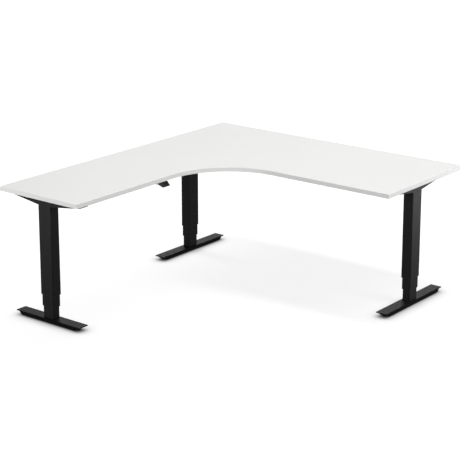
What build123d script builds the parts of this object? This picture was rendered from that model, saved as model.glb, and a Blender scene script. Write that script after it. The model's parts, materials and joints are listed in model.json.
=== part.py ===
from build123d import *
import os
from math import sqrt

# Height adjustable corner desk: an L-shaped top on three electric telescopic columns.
# Origin on the floor under the middle of the top's bounding rectangle, +Z up.
# +X runs along the back edge of the right wing, +Y towards the back edge. Units are mm.

os.makedirs("parts", exist_ok=True)

# ---- Top ----
TOP_X = 1800.0                  # length of the right wing along its back edge
TOP_Y = 2000.0                  # length of the left wing along its back edge
RIGHT_DEPTH = 800.0
LEFT_DEPTH = 600.0
INNER_RADIUS = 400.0            # rounding of the inner corner, where the user sits
TOP_THICK = 25.0
TOP_HEIGHT = 760.0              # upper face above the floor at rest
BAND_THICK = 2.0
BAND_EDGE = 1.2                 # rounding of the band's long edges
UNDERSIDE = TOP_HEIGHT - TOP_THICK

BACK = TOP_Y / 2
FRONT = -TOP_Y / 2
LEFT = -TOP_X / 2
RIGHT = TOP_X / 2

# ---- Column positions ----
RIGHT_LEG_END = 82.0            # right leg, from the end of the right wing
CORNER_LEG_END = 62.0           # corner leg, from the left wing's back edge
LEG_ROW = 415.0                 # right and corner legs, from the right wing's back edge
LEFT_LEG_END = 85.0             # left leg, from the end of the left wing
LEFT_LEG_IN = 298.0             # left leg, from the left wing's back edge

# ---- Column sections: long side along the foot, wide side across it ----
OUTER_LONG = 94.0
OUTER_WIDE = 64.0
OUTER_WALL = 2.0
OUTER_ROUND = 3.5
MIDDLE_LONG = 86.0
MIDDLE_WIDE = 56.0
MIDDLE_WALL = 1.8
MIDDLE_ROUND = 3.2
INNER_LONG = 78.0
INNER_WIDE = 48.0
INNER_WALL = 2.0
INNER_ROUND = 3.0
GLIDE_GAP = 0.2                 # running gap of a plastic glide on a tube's flat sides
CORNER_EASE = 0.6               # extra rounding that keeps a glide out of a tube's corners

# ---- Column levels at rest ----
FOOT_TOP = 30.0
INNER_TOP = 532.0
MIDDLE_BOTTOM = 98.0
MIDDLE_TOP = 612.0
OUTER_BOTTOM = 167.0
ARM_DEPTH = 48.0                # arm at the column
COLUMN_TOP = UNDERSIDE - ARM_DEPTH
LIP = 2.0                       # glide lip that shows below a tube
GLIDE_HIGH = 28.0
NUT_HIGH = 25.0
CARRIER_HIGH = 22.0
FLANGE = 6.0                    # flange of a nut block on the top of its tube

# ---- Spindles ----
DRIVE_R = 8.0
DRIVE_BORE_R = 4.7
DRIVE_BOTTOM = 300.0
DRIVE_TOP = 718.0
DRIVE_BORE_TOP = 678.0
LOWER_R = 14.0
LOWER_BORE_R = 9.0
LOWER_JOURNAL_R = 11.0
LOWER_JOURNAL = 11.0            # length of the journal in the carrier
LOWER_BOTTOM = 225.0
LOWER_PLUG = 10.0
ROD_FLATS = 8.0                 # hexagon rod that slides in the drive spindle
ROD_TOP = 612.0

# ---- Clearances ----
RUN_GAP = 0.08                  # radial, round the turning parts
END_GAP = 0.3                   # under a turning shoulder
BLIND_GAP = 0.5                 # past the end of a shaft or stud in a blind hole
HOLE_GAP = 0.3                  # radial, round a screw or bolt that passes through
PILOT_GAP = 0.05                # radial, round a screw or bolt that bites

# ---- Feet ----
FOOT_LONG = 604.0
FOOT_SHORT = 490.0
FOOT_WIDE = 70.0
FOOT_PLATE = 5.0
FOOT_BODY_WIDE = 64.0
FOOT_BODY_BOTTOM = 6.0
FOOT_WALL = 3.0
FOOT_END_TOP = 18.0             # slanted end of the body, in from the plate's end
FOOT_END_BOTTOM = 34.0
LEVELLER_IN = 42.0
BOSS_R = 8.0
STUD_R = 4.0
STUD_TOP = 23.0
PAD_R = 13.0
PAD_HIGH = 4.0
PAD_EDGE = 0.8
PAD_NUT_FLATS = 13.0
BASE_BOLT_X = 22.0
BASE_BOLT_Y = 12.0
BASE_HOLE_R = 4.2
BASE_BOLT_R = 4.0
BASE_BOLT_HEAD_R = 6.5
BASE_BOLT_HEAD = 5.0
BASE_BOLT_LONG = 12.0
BASE_PLATE = 6.0

# ---- Arms ----
ARM_LONG = 540.0
ARM_TIP = 17.0
ARM_WALL = 3.0
ARM_SCREW_X = 245.0
ARM_SCREW_Y = 15.0
MOTOR_NOSE_R = 14.0

# ---- Gearbox, motor ----
GEAR_LONG = 88.0
GEAR_WIDE = OUTER_WIDE - 2 * ARM_WALL
GEAR_TOP = UNDERSIDE - ARM_WALL
SPIGOT = 16.0
MOTOR_R = 22.0
MOTOR_LONG = 112.0
MOTOR_CAP = 20.0
MOTOR_START = OUTER_WIDE / 2
MOTOR_END = MOTOR_START + MOTOR_LONG + MOTOR_CAP
MOTOR_LEVEL = COLUMN_TOP + 23.0
BOLT_X = 34.0
BOLT_Y = 19.0
BOLT_R = 3.0
BOLT_HEAD_R = 5.6
BOLT_HEAD = 2.6
BOLT_LONG = 20.0

# ---- Rails ----
RAIL_WIDE = 20.0
RAIL_HIGH = 36.0
RAIL_WALL = 2.0
RAIL_LEVEL = COLUMN_TOP - 1.0   # underside of the rails
RAIL_OUT = 45.0                 # each rail's centre from the column's centre
RAIL_ROUND = 2.5

# ---- Wood screws ----
SCREW_HEAD_R = 4.5
SCREW_HEAD = 3.0
SCREW_R = 2.1
SCREW_DEEP = 15.0               # depth of the pilot hole
SCREW_IN = 14.0                 # length of screw in the top
EAR = 3.0                       # thickness of what a wood screw holds

# ---- Control box ----
BOX_X = (-300.0, -100.0)
BOX_Y = (690.0, 790.0)
BOX_HIGH = 30.0
BOX_ROUND = 5.0
BOX_EDGE = 2.0
BOX_EAR = 14.0
BOX_SCREW_IN = 15.0
INLET_WIDE = 27.0
INLET_HIGH = 20.0
INLET_DEEP = 16.0
INLET_X = -260.0

# ---- Leads: each lane is the X or Y of a straight run under the top ----
LEAD_R = 3.0
LEAD_LEVEL = UNDERSIDE - 7.0
LEAD_BEND = 40.0
BEND_SHARE = 0.45               # most of a short run that its bend may take
REAR_LANE = 735.0               # right and left motors' leads beside the control box
CORNER_REAR_LANE = 765.0
HANDSET_REAR_LANE = 719.0
RIGHT_LANE = 420.0
CORNER_LANE = -560.0
LEFT_LANE = -500.0
LEFT_CROSSING = 430.0           # where the left motor's lead moves over to its own leg
HANDSET_LANE = -446.0
CLIP_GAP = 0.2
CLIP_LONG = 10.0
CLIP_WALL = 2.5

# ---- Handset ----
HAND_X = (-400.0, -350.0)
HAND_Y = -275.0
HAND_WIDE = 60.0
HAND_DEEP = 22.0
HAND_ROUND = 3.0
HAND_SLOPE_LONG = 16.0
HAND_SLOPE_HIGH = 8.0
HAND_EAR = 16.0
HAND_EAR_OUT = 6.0              # middle of the mounting ear, behind the housing
HAND_SCREW_SIDE = 20.0
CHEEK = 3.0
CHEEK_R = 9.8
CHEEK_RISE = 1.0                # lower edge of a cheek above the housing's bottom
PIVOT_X = -338.0
PIVOT_Z = UNDERSIDE - 10.6
PIN_R = 2.0
PADDLE_GAP = 0.4
PADDLE_R = 9.0
PADDLE_HEEL = PADDLE_R - 2.4    # top of the paddle over its pivot
PADDLE_NOSE_X = -288.0
PADDLE_NOSE_Z = UNDERSIDE - 28.0
PADDLE_LIP = 4.0                # height of the nose's front face
PADDLE_FLAT_START = 14.0        # flat under the nose, from the nose
PADDLE_FLAT_END = 5.0
PADDLE_BACK_X = 20.0            # end of the paddle's upper slope, from the nose
PADDLE_BACK_Z = UNDERSIDE - 6.0
PADDLE_ROUND = 2.2
PIN_SHORT = 0.5                 # pin's end inside each cheek's outer face


class Leg:
    """Place of one column: local X runs along its foot, local Y towards its motor."""

    def __init__(self, name, x, y, along, foot_length, ends):
        self.name = name
        self.x = x
        self.y = y
        self.along = Vector(*along)
        self.foot_length = foot_length
        self.ends = ends            # names of the foot's -X and +X ends

    def level(self, height):
        return Plane(origin=(self.x, self.y, height), x_dir=self.along, z_dir=(0, 0, 1))

    def side(self, height, out):
        """Upright plane facing local Y, with its own Y axis pointing up."""
        across = self.across()
        origin = Vector(self.x, self.y, height) + across * out
        return Plane(origin=origin, x_dir=-self.along, z_dir=across)

    def across(self):
        return Vector(0, 0, 1).cross(self.along)


LEGS = [
    Leg("left", LEFT + LEFT_LEG_IN, FRONT + LEFT_LEG_END, (1, 0, 0), FOOT_SHORT, ("outer", "inner")),
    Leg("corner", LEFT + CORNER_LEG_END, BACK - LEG_ROW, (0, -1, 0), FOOT_LONG, ("back", "front")),
    Leg("right", RIGHT - RIGHT_LEG_END, BACK - LEG_ROW, (0, 1, 0), FOOT_LONG, ("front", "back")),
]
LEFT_LEG, CORNER_LEG, RIGHT_LEG = LEGS


def save(part, name):
    """Label a finished piece and write it as its own node."""
    part.label = name
    export_step(part, f"parts/{name}.step")


def arm_screw_points():
    """Wood screws at both ends of each arm, on the underside of the top."""
    points = []
    for leg in LEGS:
        for x in (-ARM_SCREW_X, ARM_SCREW_X):
            for y in (-ARM_SCREW_Y, ARM_SCREW_Y):
                points.append(leg.level(UNDERSIDE).from_local_coords(Vector(x, y, 0)))
    return points


def box_screw_points():
    return [
        Vector(x, y, UNDERSIDE)
        for x in (BOX_X[0] - BOX_EAR / 2, BOX_X[1] + BOX_EAR / 2)
        for y in (BOX_Y[0] + BOX_SCREW_IN, BOX_Y[1] - BOX_SCREW_IN)
    ]


def handset_screw_points():
    x = HAND_X[0] - HAND_EAR_OUT
    return [Vector(x, HAND_Y + side, UNDERSIDE) for side in (-HAND_SCREW_SIDE, HAND_SCREW_SIDE)]


SCREW_POINTS = arm_screw_points() + box_screw_points() + handset_screw_points()

# Routes of the leads, seen from above. Each runs flat under the top from the control box.
RIGHT_ROUTE = [
    (BOX_X[1], REAR_LANE),
    (RIGHT_LANE, REAR_LANE),
    (RIGHT_LANE, RIGHT_LEG.y),
    (RIGHT_LEG.x - MOTOR_END, RIGHT_LEG.y),
]
CORNER_ROUTE = [
    (BOX_X[0], CORNER_REAR_LANE),
    (CORNER_LANE, CORNER_REAR_LANE),
    (CORNER_LANE, CORNER_LEG.y),
    (CORNER_LEG.x + MOTOR_END, CORNER_LEG.y),
]
LEFT_ROUTE = [
    (BOX_X[0], REAR_LANE),
    (LEFT_LANE, REAR_LANE),
    (LEFT_LANE, LEFT_CROSSING),
    (LEFT_LEG.x, LEFT_CROSSING),
    (LEFT_LEG.x, LEFT_LEG.y + MOTOR_END),
]
HANDSET_ROUTE = [
    (BOX_X[0], HANDSET_REAR_LANE),
    (HANDSET_LANE, HANDSET_REAR_LANE),
    (HANDSET_LANE, HAND_Y),
    (HAND_X[0], HAND_Y),
]
# Clips along straight runs: the run's direction, its lane, and the clips' places on it.
CLIP_ROWS = [
    ("x", REAR_LANE, (100.0, 320.0)),
    ("x", RIGHT_LEG.y, (540.0,)),
    ("x", CORNER_REAR_LANE, (-420.0,)),
    ("y", CORNER_LANE, (675.0,)),
    ("y", LEFT_LANE, (670.0,)),
    ("y", LEFT_LEG.x, (300.0, 0.0, -300.0, -600.0)),
    ("y", HANDSET_LANE, (480.0, 200.0, -100.0)),
]


# ---- Top and its edge band ----

def top_sketch(inset):
    """L-shaped outline with the rounded inner corner, drawn in by an inset."""
    x0, x1 = LEFT + inset, RIGHT - inset
    y0, y1 = FRONT + inset, BACK - inset
    wing_x = LEFT + LEFT_DEPTH - inset
    wing_y = BACK - RIGHT_DEPTH + inset
    radius = INNER_RADIUS + inset
    with BuildSketch(Plane.XY.offset(UNDERSIDE)) as outline:
        with BuildLine():
            Polyline((wing_x + radius, wing_y), (x1, wing_y), (x1, y1), (x0, y1), (x0, y0),
                     (wing_x, y0), (wing_x, wing_y - radius))
            RadiusArc((wing_x, wing_y - radius), (wing_x + radius, wing_y), radius)
        make_face()
    return outline.sketch


with BuildPart() as tabletop:
    extrude(top_sketch(BAND_THICK), amount=TOP_THICK)
    with Locations(*SCREW_POINTS):
        pilot = (Align.CENTER, Align.CENTER, Align.MIN)
        Cylinder(SCREW_R + PILOT_GAP, SCREW_DEEP, align=pilot, mode=Mode.SUBTRACT)
save(tabletop.part, "tabletop")

with BuildPart() as edge_band:
    extrude(top_sketch(0), amount=TOP_THICK)
    outer_edges = edge_band.edges().group_by(Axis.Z)[0] + edge_band.edges().group_by(Axis.Z)[-1]
    fillet(outer_edges, BAND_EDGE)
    extrude(top_sketch(BAND_THICK), amount=TOP_THICK, mode=Mode.SUBTRACT)
save(edge_band.part, "edge_band")


# ---- Feet ----

def make_foot(leg):
    """Cast foot: a thin plate over a narrower hollow body with slanted ends."""
    half = leg.foot_length / 2
    body_top = FOOT_TOP - FOOT_PLATE
    end_slope = (FOOT_END_BOTTOM - FOOT_END_TOP) / (body_top - FOOT_BODY_BOTTOM)
    with BuildPart() as foot:
        with BuildSketch(leg.level(body_top)):
            Rectangle(leg.foot_length, FOOT_WIDE)
        extrude(amount=FOOT_PLATE)
        with BuildSketch(leg.side(0, -FOOT_BODY_WIDE / 2)):
            with BuildLine():
                top_x = half - FOOT_END_TOP
                low_x = half - FOOT_END_BOTTOM
                Polyline((-top_x, body_top), (top_x, body_top), (low_x, FOOT_BODY_BOTTOM),
                         (-low_x, FOOT_BODY_BOTTOM), close=True)
            make_face()
        extrude(amount=FOOT_BODY_WIDE)
        with BuildSketch(leg.side(0, -FOOT_BODY_WIDE / 2 + FOOT_WALL)):
            with BuildLine():
                top_x = half - FOOT_END_TOP - FOOT_WALL
                low_x = top_x - end_slope * (body_top - FOOT_BODY_BOTTOM)
                Polyline((-top_x, body_top), (top_x, body_top), (low_x, FOOT_BODY_BOTTOM),
                         (-low_x, FOOT_BODY_BOTTOM), close=True)
            make_face()
        extrude(amount=FOOT_BODY_WIDE - 2 * FOOT_WALL, mode=Mode.SUBTRACT)
        with BuildSketch(leg.level(FOOT_BODY_BOTTOM)):
            with Locations((half - LEVELLER_IN, 0), (LEVELLER_IN - half, 0)):
                Circle(BOSS_R)
            with Locations((half - LEVELLER_IN, 0), (LEVELLER_IN - half, 0)):
                Rectangle(FOOT_WALL, FOOT_BODY_WIDE - FOOT_WALL)
        extrude(amount=body_top - FOOT_BODY_BOTTOM)
        with BuildSketch(leg.level(FOOT_BODY_BOTTOM)):
            with Locations((half - LEVELLER_IN, 0), (LEVELLER_IN - half, 0)):
                Circle(STUD_R + RUN_GAP)
        extrude(amount=STUD_TOP - FOOT_BODY_BOTTOM + BLIND_GAP, mode=Mode.SUBTRACT)
        with BuildSketch(leg.level(body_top)):
            with GridLocations(2 * BASE_BOLT_X, 2 * BASE_BOLT_Y, 2, 2):
                Circle(BASE_HOLE_R)
        extrude(amount=FOOT_PLATE, mode=Mode.SUBTRACT)
    save(foot.part, f"{leg.name}_foot")


def make_levellers(leg):
    """One levelling foot near each end of the foot: pad, nut and threaded stud."""
    reach = leg.foot_length / 2 - LEVELLER_IN
    for end, x in zip(leg.ends, (-reach, reach)):
        with BuildPart() as leveller:
            with BuildSketch(leg.level(0)):
                with Locations((x, 0)):
                    Circle(PAD_R)
            extrude(amount=PAD_HIGH)
            chamfer(leveller.edges().filter_by(GeomType.CIRCLE), PAD_EDGE)
            with BuildSketch(leg.level(PAD_HIGH)):
                with Locations((x, 0)):
                    RegularPolygon(PAD_NUT_FLATS / sqrt(3), 6)
            extrude(amount=FOOT_BODY_BOTTOM - PAD_HIGH)
            with BuildSketch(leg.level(FOOT_BODY_BOTTOM)):
                with Locations((x, 0)):
                    Circle(STUD_R)
            extrude(amount=STUD_TOP - FOOT_BODY_BOTTOM)
        save(leveller.part, f"{leg.name}_leveller_{end}")


# ---- Telescopic tubes and glides ----

def make_inner_tube(leg):
    """Lowest tube, welded to a base plate that is bolted to the foot."""
    with BuildPart() as inner_tube:
        with BuildSketch(leg.level(FOOT_TOP)):
            RectangleRounded(INNER_LONG, INNER_WIDE, INNER_ROUND)
            RectangleRounded(INNER_LONG - 2 * INNER_WALL, INNER_WIDE - 2 * INNER_WALL,
                             INNER_ROUND - INNER_WALL, mode=Mode.SUBTRACT)
        extrude(amount=INNER_TOP - FOOT_TOP)
        with BuildSketch(leg.level(FOOT_TOP)):
            Rectangle(INNER_LONG - 2 * INNER_WALL, INNER_WIDE - 2 * INNER_WALL)
            with GridLocations(2 * BASE_BOLT_X, 2 * BASE_BOLT_Y, 2, 2):
                Circle(BASE_HOLE_R, mode=Mode.SUBTRACT)
        extrude(amount=BASE_PLATE)
    save(inner_tube.part, f"{leg.name}_inner_tube")


def make_foot_bolts(leg):
    """Four bolts from inside the foot's body into the base plate of the inner tube."""
    head_level = FOOT_TOP - FOOT_PLATE - BASE_BOLT_HEAD
    with BuildPart() as foot_bolts:
        with BuildSketch(leg.level(head_level)):
            with GridLocations(2 * BASE_BOLT_X, 2 * BASE_BOLT_Y, 2, 2):
                Circle(BASE_BOLT_HEAD_R)
        extrude(amount=BASE_BOLT_HEAD)
        with BuildSketch(leg.level(head_level + BASE_BOLT_HEAD)):
            with GridLocations(2 * BASE_BOLT_X, 2 * BASE_BOLT_Y, 2, 2):
                Circle(BASE_BOLT_R)
        extrude(amount=BASE_BOLT_LONG)
    save(foot_bolts.part, f"{leg.name}_foot_bolts")


def make_lower_nut(leg):
    """Moulded block on the inner tube's top: nut of the lower spindle, and glide skirt outside."""
    skirt = 2 * (MIDDLE_WALL + GLIDE_GAP)
    with BuildPart() as lower_nut:
        with BuildSketch(leg.level(INNER_TOP - GLIDE_HIGH)):
            RectangleRounded(MIDDLE_LONG - skirt, MIDDLE_WIDE - skirt, MIDDLE_ROUND)
            RectangleRounded(INNER_LONG, INNER_WIDE, INNER_ROUND - CORNER_EASE, mode=Mode.SUBTRACT)
        extrude(amount=GLIDE_HIGH)
        with BuildSketch(leg.level(INNER_TOP - NUT_HIGH)):
            RectangleRounded(INNER_LONG - 2 * INNER_WALL, INNER_WIDE - 2 * INNER_WALL,
                             INNER_ROUND - INNER_WALL + CORNER_EASE)
        extrude(amount=NUT_HIGH)
        with BuildSketch(leg.level(INNER_TOP)):
            RectangleRounded(MIDDLE_LONG - skirt, MIDDLE_WIDE - skirt, MIDDLE_ROUND)
        extrude(amount=FLANGE)
        with BuildSketch(leg.level(INNER_TOP - NUT_HIGH)):
            Circle(LOWER_R + RUN_GAP)
        extrude(amount=NUT_HIGH + FLANGE, mode=Mode.SUBTRACT)
    save(lower_nut.part, f"{leg.name}_lower_nut")


def make_middle_tube(leg):
    """Middle tube, above the lip of its lower glide."""
    with BuildPart() as middle_tube:
        with BuildSketch(leg.level(MIDDLE_BOTTOM + LIP)):
            RectangleRounded(MIDDLE_LONG, MIDDLE_WIDE, MIDDLE_ROUND)
            RectangleRounded(MIDDLE_LONG - 2 * MIDDLE_WALL, MIDDLE_WIDE - 2 * MIDDLE_WALL,
                             MIDDLE_ROUND - MIDDLE_WALL, mode=Mode.SUBTRACT)
        extrude(amount=MIDDLE_TOP - MIDDLE_BOTTOM - LIP)
    save(middle_tube.part, f"{leg.name}_middle_tube")


def make_middle_glides(leg):
    """Collar in the tube's mouth, on the inner tube, and collar round its top, in the outer tube."""
    with BuildPart() as middle_glides:
        with BuildSketch(leg.level(MIDDLE_BOTTOM)):
            RectangleRounded(MIDDLE_LONG, MIDDLE_WIDE, MIDDLE_ROUND)
        extrude(amount=LIP)
        with BuildSketch(leg.level(MIDDLE_BOTTOM + LIP)):
            RectangleRounded(MIDDLE_LONG - 2 * MIDDLE_WALL, MIDDLE_WIDE - 2 * MIDDLE_WALL,
                             MIDDLE_ROUND - MIDDLE_WALL + CORNER_EASE)
        extrude(amount=GLIDE_HIGH)
        with BuildSketch(leg.level(MIDDLE_BOTTOM)):
            RectangleRounded(INNER_LONG + 2 * GLIDE_GAP, INNER_WIDE + 2 * GLIDE_GAP,
                             INNER_ROUND - CORNER_EASE)
        extrude(amount=LIP + GLIDE_HIGH, mode=Mode.SUBTRACT)
        with BuildSketch(leg.level(MIDDLE_TOP - GLIDE_HIGH)):
            gap = 2 * (OUTER_WALL + GLIDE_GAP)
            RectangleRounded(OUTER_LONG - gap, OUTER_WIDE - gap, OUTER_ROUND)
            RectangleRounded(MIDDLE_LONG, MIDDLE_WIDE, MIDDLE_ROUND - CORNER_EASE, mode=Mode.SUBTRACT)
        extrude(amount=GLIDE_HIGH)
    save(middle_glides.part, f"{leg.name}_middle_glides")


def make_upper_nut(leg):
    """Nut block in the top of the middle tube: upper nut, and bearing of the lower spindle."""
    with BuildPart() as upper_nut:
        with BuildSketch(leg.level(MIDDLE_TOP - CARRIER_HIGH)):
            RectangleRounded(MIDDLE_LONG - 2 * MIDDLE_WALL, MIDDLE_WIDE - 2 * MIDDLE_WALL,
                             MIDDLE_ROUND - MIDDLE_WALL + CORNER_EASE)
        extrude(amount=CARRIER_HIGH)
        with BuildSketch(leg.level(MIDDLE_TOP)):
            RectangleRounded(MIDDLE_LONG, MIDDLE_WIDE, MIDDLE_ROUND)
        extrude(amount=FLANGE)
        with BuildSketch(leg.level(MIDDLE_TOP - CARRIER_HIGH)):
            Circle(LOWER_JOURNAL_R + RUN_GAP)
        extrude(amount=LOWER_JOURNAL + BLIND_GAP, mode=Mode.SUBTRACT)
        with BuildSketch(leg.level(MIDDLE_TOP - CARRIER_HIGH)):
            Circle(DRIVE_R + RUN_GAP)
        extrude(amount=CARRIER_HIGH + FLANGE, mode=Mode.SUBTRACT)
    save(upper_nut.part, f"{leg.name}_upper_nut")


def make_outer_tube(leg):
    """Outer tube, from the lip of its glide up to the gearbox."""
    with BuildPart() as outer_tube:
        with BuildSketch(leg.level(OUTER_BOTTOM + LIP)):
            RectangleRounded(OUTER_LONG, OUTER_WIDE, OUTER_ROUND)
            RectangleRounded(OUTER_LONG - 2 * OUTER_WALL, OUTER_WIDE - 2 * OUTER_WALL,
                             OUTER_ROUND - OUTER_WALL, mode=Mode.SUBTRACT)
        extrude(amount=COLUMN_TOP - OUTER_BOTTOM - LIP)
    save(outer_tube.part, f"{leg.name}_outer_tube")


def make_outer_glide(leg):
    """Collar in the outer tube's mouth, sliding on the middle tube, with a lip below the tube."""
    with BuildPart() as outer_glide:
        with BuildSketch(leg.level(OUTER_BOTTOM)):
            RectangleRounded(OUTER_LONG, OUTER_WIDE, OUTER_ROUND)
        extrude(amount=LIP)
        with BuildSketch(leg.level(OUTER_BOTTOM + LIP)):
            RectangleRounded(OUTER_LONG - 2 * OUTER_WALL, OUTER_WIDE - 2 * OUTER_WALL,
                             OUTER_ROUND - OUTER_WALL + CORNER_EASE)
        extrude(amount=GLIDE_HIGH)
        with BuildSketch(leg.level(OUTER_BOTTOM)):
            RectangleRounded(MIDDLE_LONG + 2 * GLIDE_GAP, MIDDLE_WIDE + 2 * GLIDE_GAP,
                             MIDDLE_ROUND - CORNER_EASE)
        extrude(amount=LIP + GLIDE_HIGH, mode=Mode.SUBTRACT)
    save(outer_glide.part, f"{leg.name}_outer_glide")


# ---- Spindles ----

def make_drive_spindle(leg):
    """Hollow spindle hung from the gearbox, through the upper nut."""
    with BuildPart() as drive_spindle:
        with BuildSketch(leg.level(DRIVE_BOTTOM)):
            Circle(DRIVE_R)
        extrude(amount=DRIVE_TOP - DRIVE_BOTTOM)
        with BuildSketch(leg.level(DRIVE_BOTTOM)):
            Circle(DRIVE_BORE_R)
        extrude(amount=DRIVE_BORE_TOP - DRIVE_BOTTOM, mode=Mode.SUBTRACT)
    save(drive_spindle.part, f"{leg.name}_drive_spindle")


def make_lower_spindle(leg):
    """Wide hollow spindle round the drive spindle, turned by a hexagon rod inside it."""
    shoulder = MIDDLE_TOP - CARRIER_HIGH - END_GAP
    bore_bottom = LOWER_BOTTOM + LOWER_PLUG
    with BuildPart() as lower_spindle:
        with BuildSketch(leg.level(LOWER_BOTTOM)):
            Circle(LOWER_R)
        extrude(amount=shoulder - LOWER_BOTTOM)
        with BuildSketch(leg.level(shoulder)):
            Circle(LOWER_JOURNAL_R)
        extrude(amount=LOWER_JOURNAL)
        with BuildSketch(leg.level(bore_bottom)):
            Circle(LOWER_BORE_R)
        extrude(amount=shoulder + LOWER_JOURNAL - bore_bottom, mode=Mode.SUBTRACT)
        with BuildSketch(leg.level(bore_bottom)):
            RegularPolygon(ROD_FLATS / sqrt(3), 6)
        extrude(amount=ROD_TOP - bore_bottom)
    save(lower_spindle.part, f"{leg.name}_lower_spindle")


# ---- Gearbox and motor ----

def make_gearbox(leg):
    """Worm gear housing in the arm, with a spigot that plugs into the outer tube."""
    with BuildPart() as gearbox:
        with BuildSketch(leg.level(COLUMN_TOP)):
            RectangleRounded(GEAR_LONG, GEAR_WIDE, OUTER_ROUND)
        extrude(amount=GEAR_TOP - COLUMN_TOP)
        with BuildSketch(leg.level(COLUMN_TOP - SPIGOT)):
            RectangleRounded(OUTER_LONG - 2 * OUTER_WALL, OUTER_WIDE - 2 * OUTER_WALL,
                             OUTER_ROUND - OUTER_WALL + CORNER_EASE)
        extrude(amount=SPIGOT)
        with BuildSketch(leg.level(COLUMN_TOP - SPIGOT)):
            Circle(DRIVE_R + RUN_GAP)
        extrude(amount=DRIVE_TOP - COLUMN_TOP + SPIGOT + BLIND_GAP, mode=Mode.SUBTRACT)
        with BuildSketch(leg.level(GEAR_TOP - BOLT_LONG)):
            with GridLocations(2 * BOLT_X, 2 * BOLT_Y, 2, 2):
                Circle(BOLT_R + PILOT_GAP)
        extrude(amount=BOLT_LONG, mode=Mode.SUBTRACT)
    save(gearbox.part, f"{leg.name}_gearbox")


def make_motor(leg):
    """Motor lying between the rails: nose, ribbed can and square end cap with the lead's outlet."""
    with BuildPart() as motor:
        with BuildSketch(leg.side(MOTOR_LEVEL, GEAR_WIDE / 2)):
            Circle(MOTOR_NOSE_R)
        extrude(amount=MOTOR_START - GEAR_WIDE / 2)
        with BuildSketch(leg.side(MOTOR_LEVEL, MOTOR_START)):
            Circle(MOTOR_R)
        extrude(amount=MOTOR_LONG)
        with BuildSketch(leg.side(MOTOR_LEVEL, MOTOR_START + MOTOR_LONG)):
            RectangleRounded(2 * MOTOR_R, 2 * MOTOR_R, BOX_ROUND)
        extrude(amount=MOTOR_CAP)
    save(motor.part, f"{leg.name}_motor")


# ---- Arms, rails and screws ----

def make_arm(leg):
    """Steel channel under the top, deep at the column and shallow at its two tips."""
    half = ARM_LONG / 2
    column = OUTER_LONG / 2
    with BuildPart() as arm:
        with BuildSketch(leg.side(UNDERSIDE, -OUTER_WIDE / 2)):
            with BuildLine():
                Polyline((-half, 0), (half, 0), (half, -ARM_TIP), (column, -ARM_DEPTH),
                         (-column, -ARM_DEPTH), (-half, -ARM_TIP), close=True)
            make_face()
        extrude(amount=OUTER_WIDE)
        with BuildSketch(leg.level(UNDERSIDE - ARM_DEPTH)):
            Rectangle(ARM_LONG - 2 * ARM_WALL, OUTER_WIDE - 2 * ARM_WALL)
        extrude(amount=ARM_DEPTH - ARM_WALL, mode=Mode.SUBTRACT)
        with BuildSketch(leg.level(UNDERSIDE - ARM_WALL)):
            with GridLocations(2 * ARM_SCREW_X, 2 * ARM_SCREW_Y, 2, 2):
                Circle(SCREW_R + HOLE_GAP)
            with GridLocations(2 * BOLT_X, 2 * BOLT_Y, 2, 2):
                Circle(BOLT_R + HOLE_GAP)
        extrude(amount=ARM_WALL, mode=Mode.SUBTRACT)
        with Locations(leg.level(UNDERSIDE)):
            with GridLocations(2 * BOLT_X, 2 * BOLT_Y, 2, 2):
                CounterSinkHole(BOLT_R + HOLE_GAP, BOLT_HEAD_R + HOLE_GAP, depth=ARM_WALL)
        with BuildSketch(leg.side(MOTOR_LEVEL, GEAR_WIDE / 2)):
            Circle(MOTOR_NOSE_R + HOLE_GAP)
        extrude(amount=ARM_WALL, mode=Mode.SUBTRACT)
    save(arm.part, f"{leg.name}_arm")


def rail_sketch(plane):
    """Sections of the two box rails, one each side of the motors."""
    with BuildSketch(plane) as sections:
        with Locations((-RAIL_OUT, RAIL_HIGH / 2), (RAIL_OUT, RAIL_HIGH / 2)):
            RectangleRounded(RAIL_WIDE, RAIL_HIGH, RAIL_ROUND)
            Rectangle(RAIL_WIDE - 2 * RAIL_WALL, RAIL_HIGH - 2 * RAIL_WALL, mode=Mode.SUBTRACT)
    return sections.sketch


with BuildPart() as main_rails:
    rail_start = CORNER_LEG.x + OUTER_WIDE / 2
    rail_end = RIGHT_LEG.x - OUTER_WIDE / 2
    rail_plane = Plane(origin=(rail_start, CORNER_LEG.y, RAIL_LEVEL), x_dir=(0, 1, 0), z_dir=(1, 0, 0))
    extrude(rail_sketch(rail_plane), amount=rail_end - rail_start)
save(main_rails.part, "main_rails")

with BuildPart() as side_rails:
    rail_start = LEFT_LEG.y + OUTER_WIDE / 2
    rail_end = CORNER_LEG.y - RAIL_OUT - RAIL_WIDE / 2
    rail_plane = Plane(origin=(LEFT_LEG.x, rail_start, RAIL_LEVEL), x_dir=(-1, 0, 0), z_dir=(0, 1, 0))
    extrude(rail_sketch(rail_plane), amount=rail_end - rail_start)
save(side_rails.part, "side_rails")

with BuildPart() as wood_screws:
    with Locations(*[point - Vector(0, 0, EAR + SCREW_HEAD) for point in SCREW_POINTS]):
        Cylinder(SCREW_HEAD_R, SCREW_HEAD, align=(Align.CENTER, Align.CENTER, Align.MIN))
    with Locations(*[point - Vector(0, 0, EAR) for point in SCREW_POINTS]):
        Cylinder(SCREW_R, EAR + SCREW_IN, align=(Align.CENTER, Align.CENTER, Align.MIN))
save(wood_screws.part, "wood_screws")

with BuildPart() as column_bolts:
    for leg in LEGS:
        with BuildSketch(leg.level(UNDERSIDE)):
            with GridLocations(2 * BOLT_X, 2 * BOLT_Y, 2, 2):
                Circle(BOLT_HEAD_R)
        extrude(amount=-BOLT_HEAD, taper=45)
        with BuildSketch(leg.level(UNDERSIDE)):
            with GridLocations(2 * BOLT_X, 2 * BOLT_Y, 2, 2):
                Circle(BOLT_R)
        extrude(amount=-BOLT_LONG)
save(column_bolts.part, "column_bolts")


# ---- Control box, leads and clips ----

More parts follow.
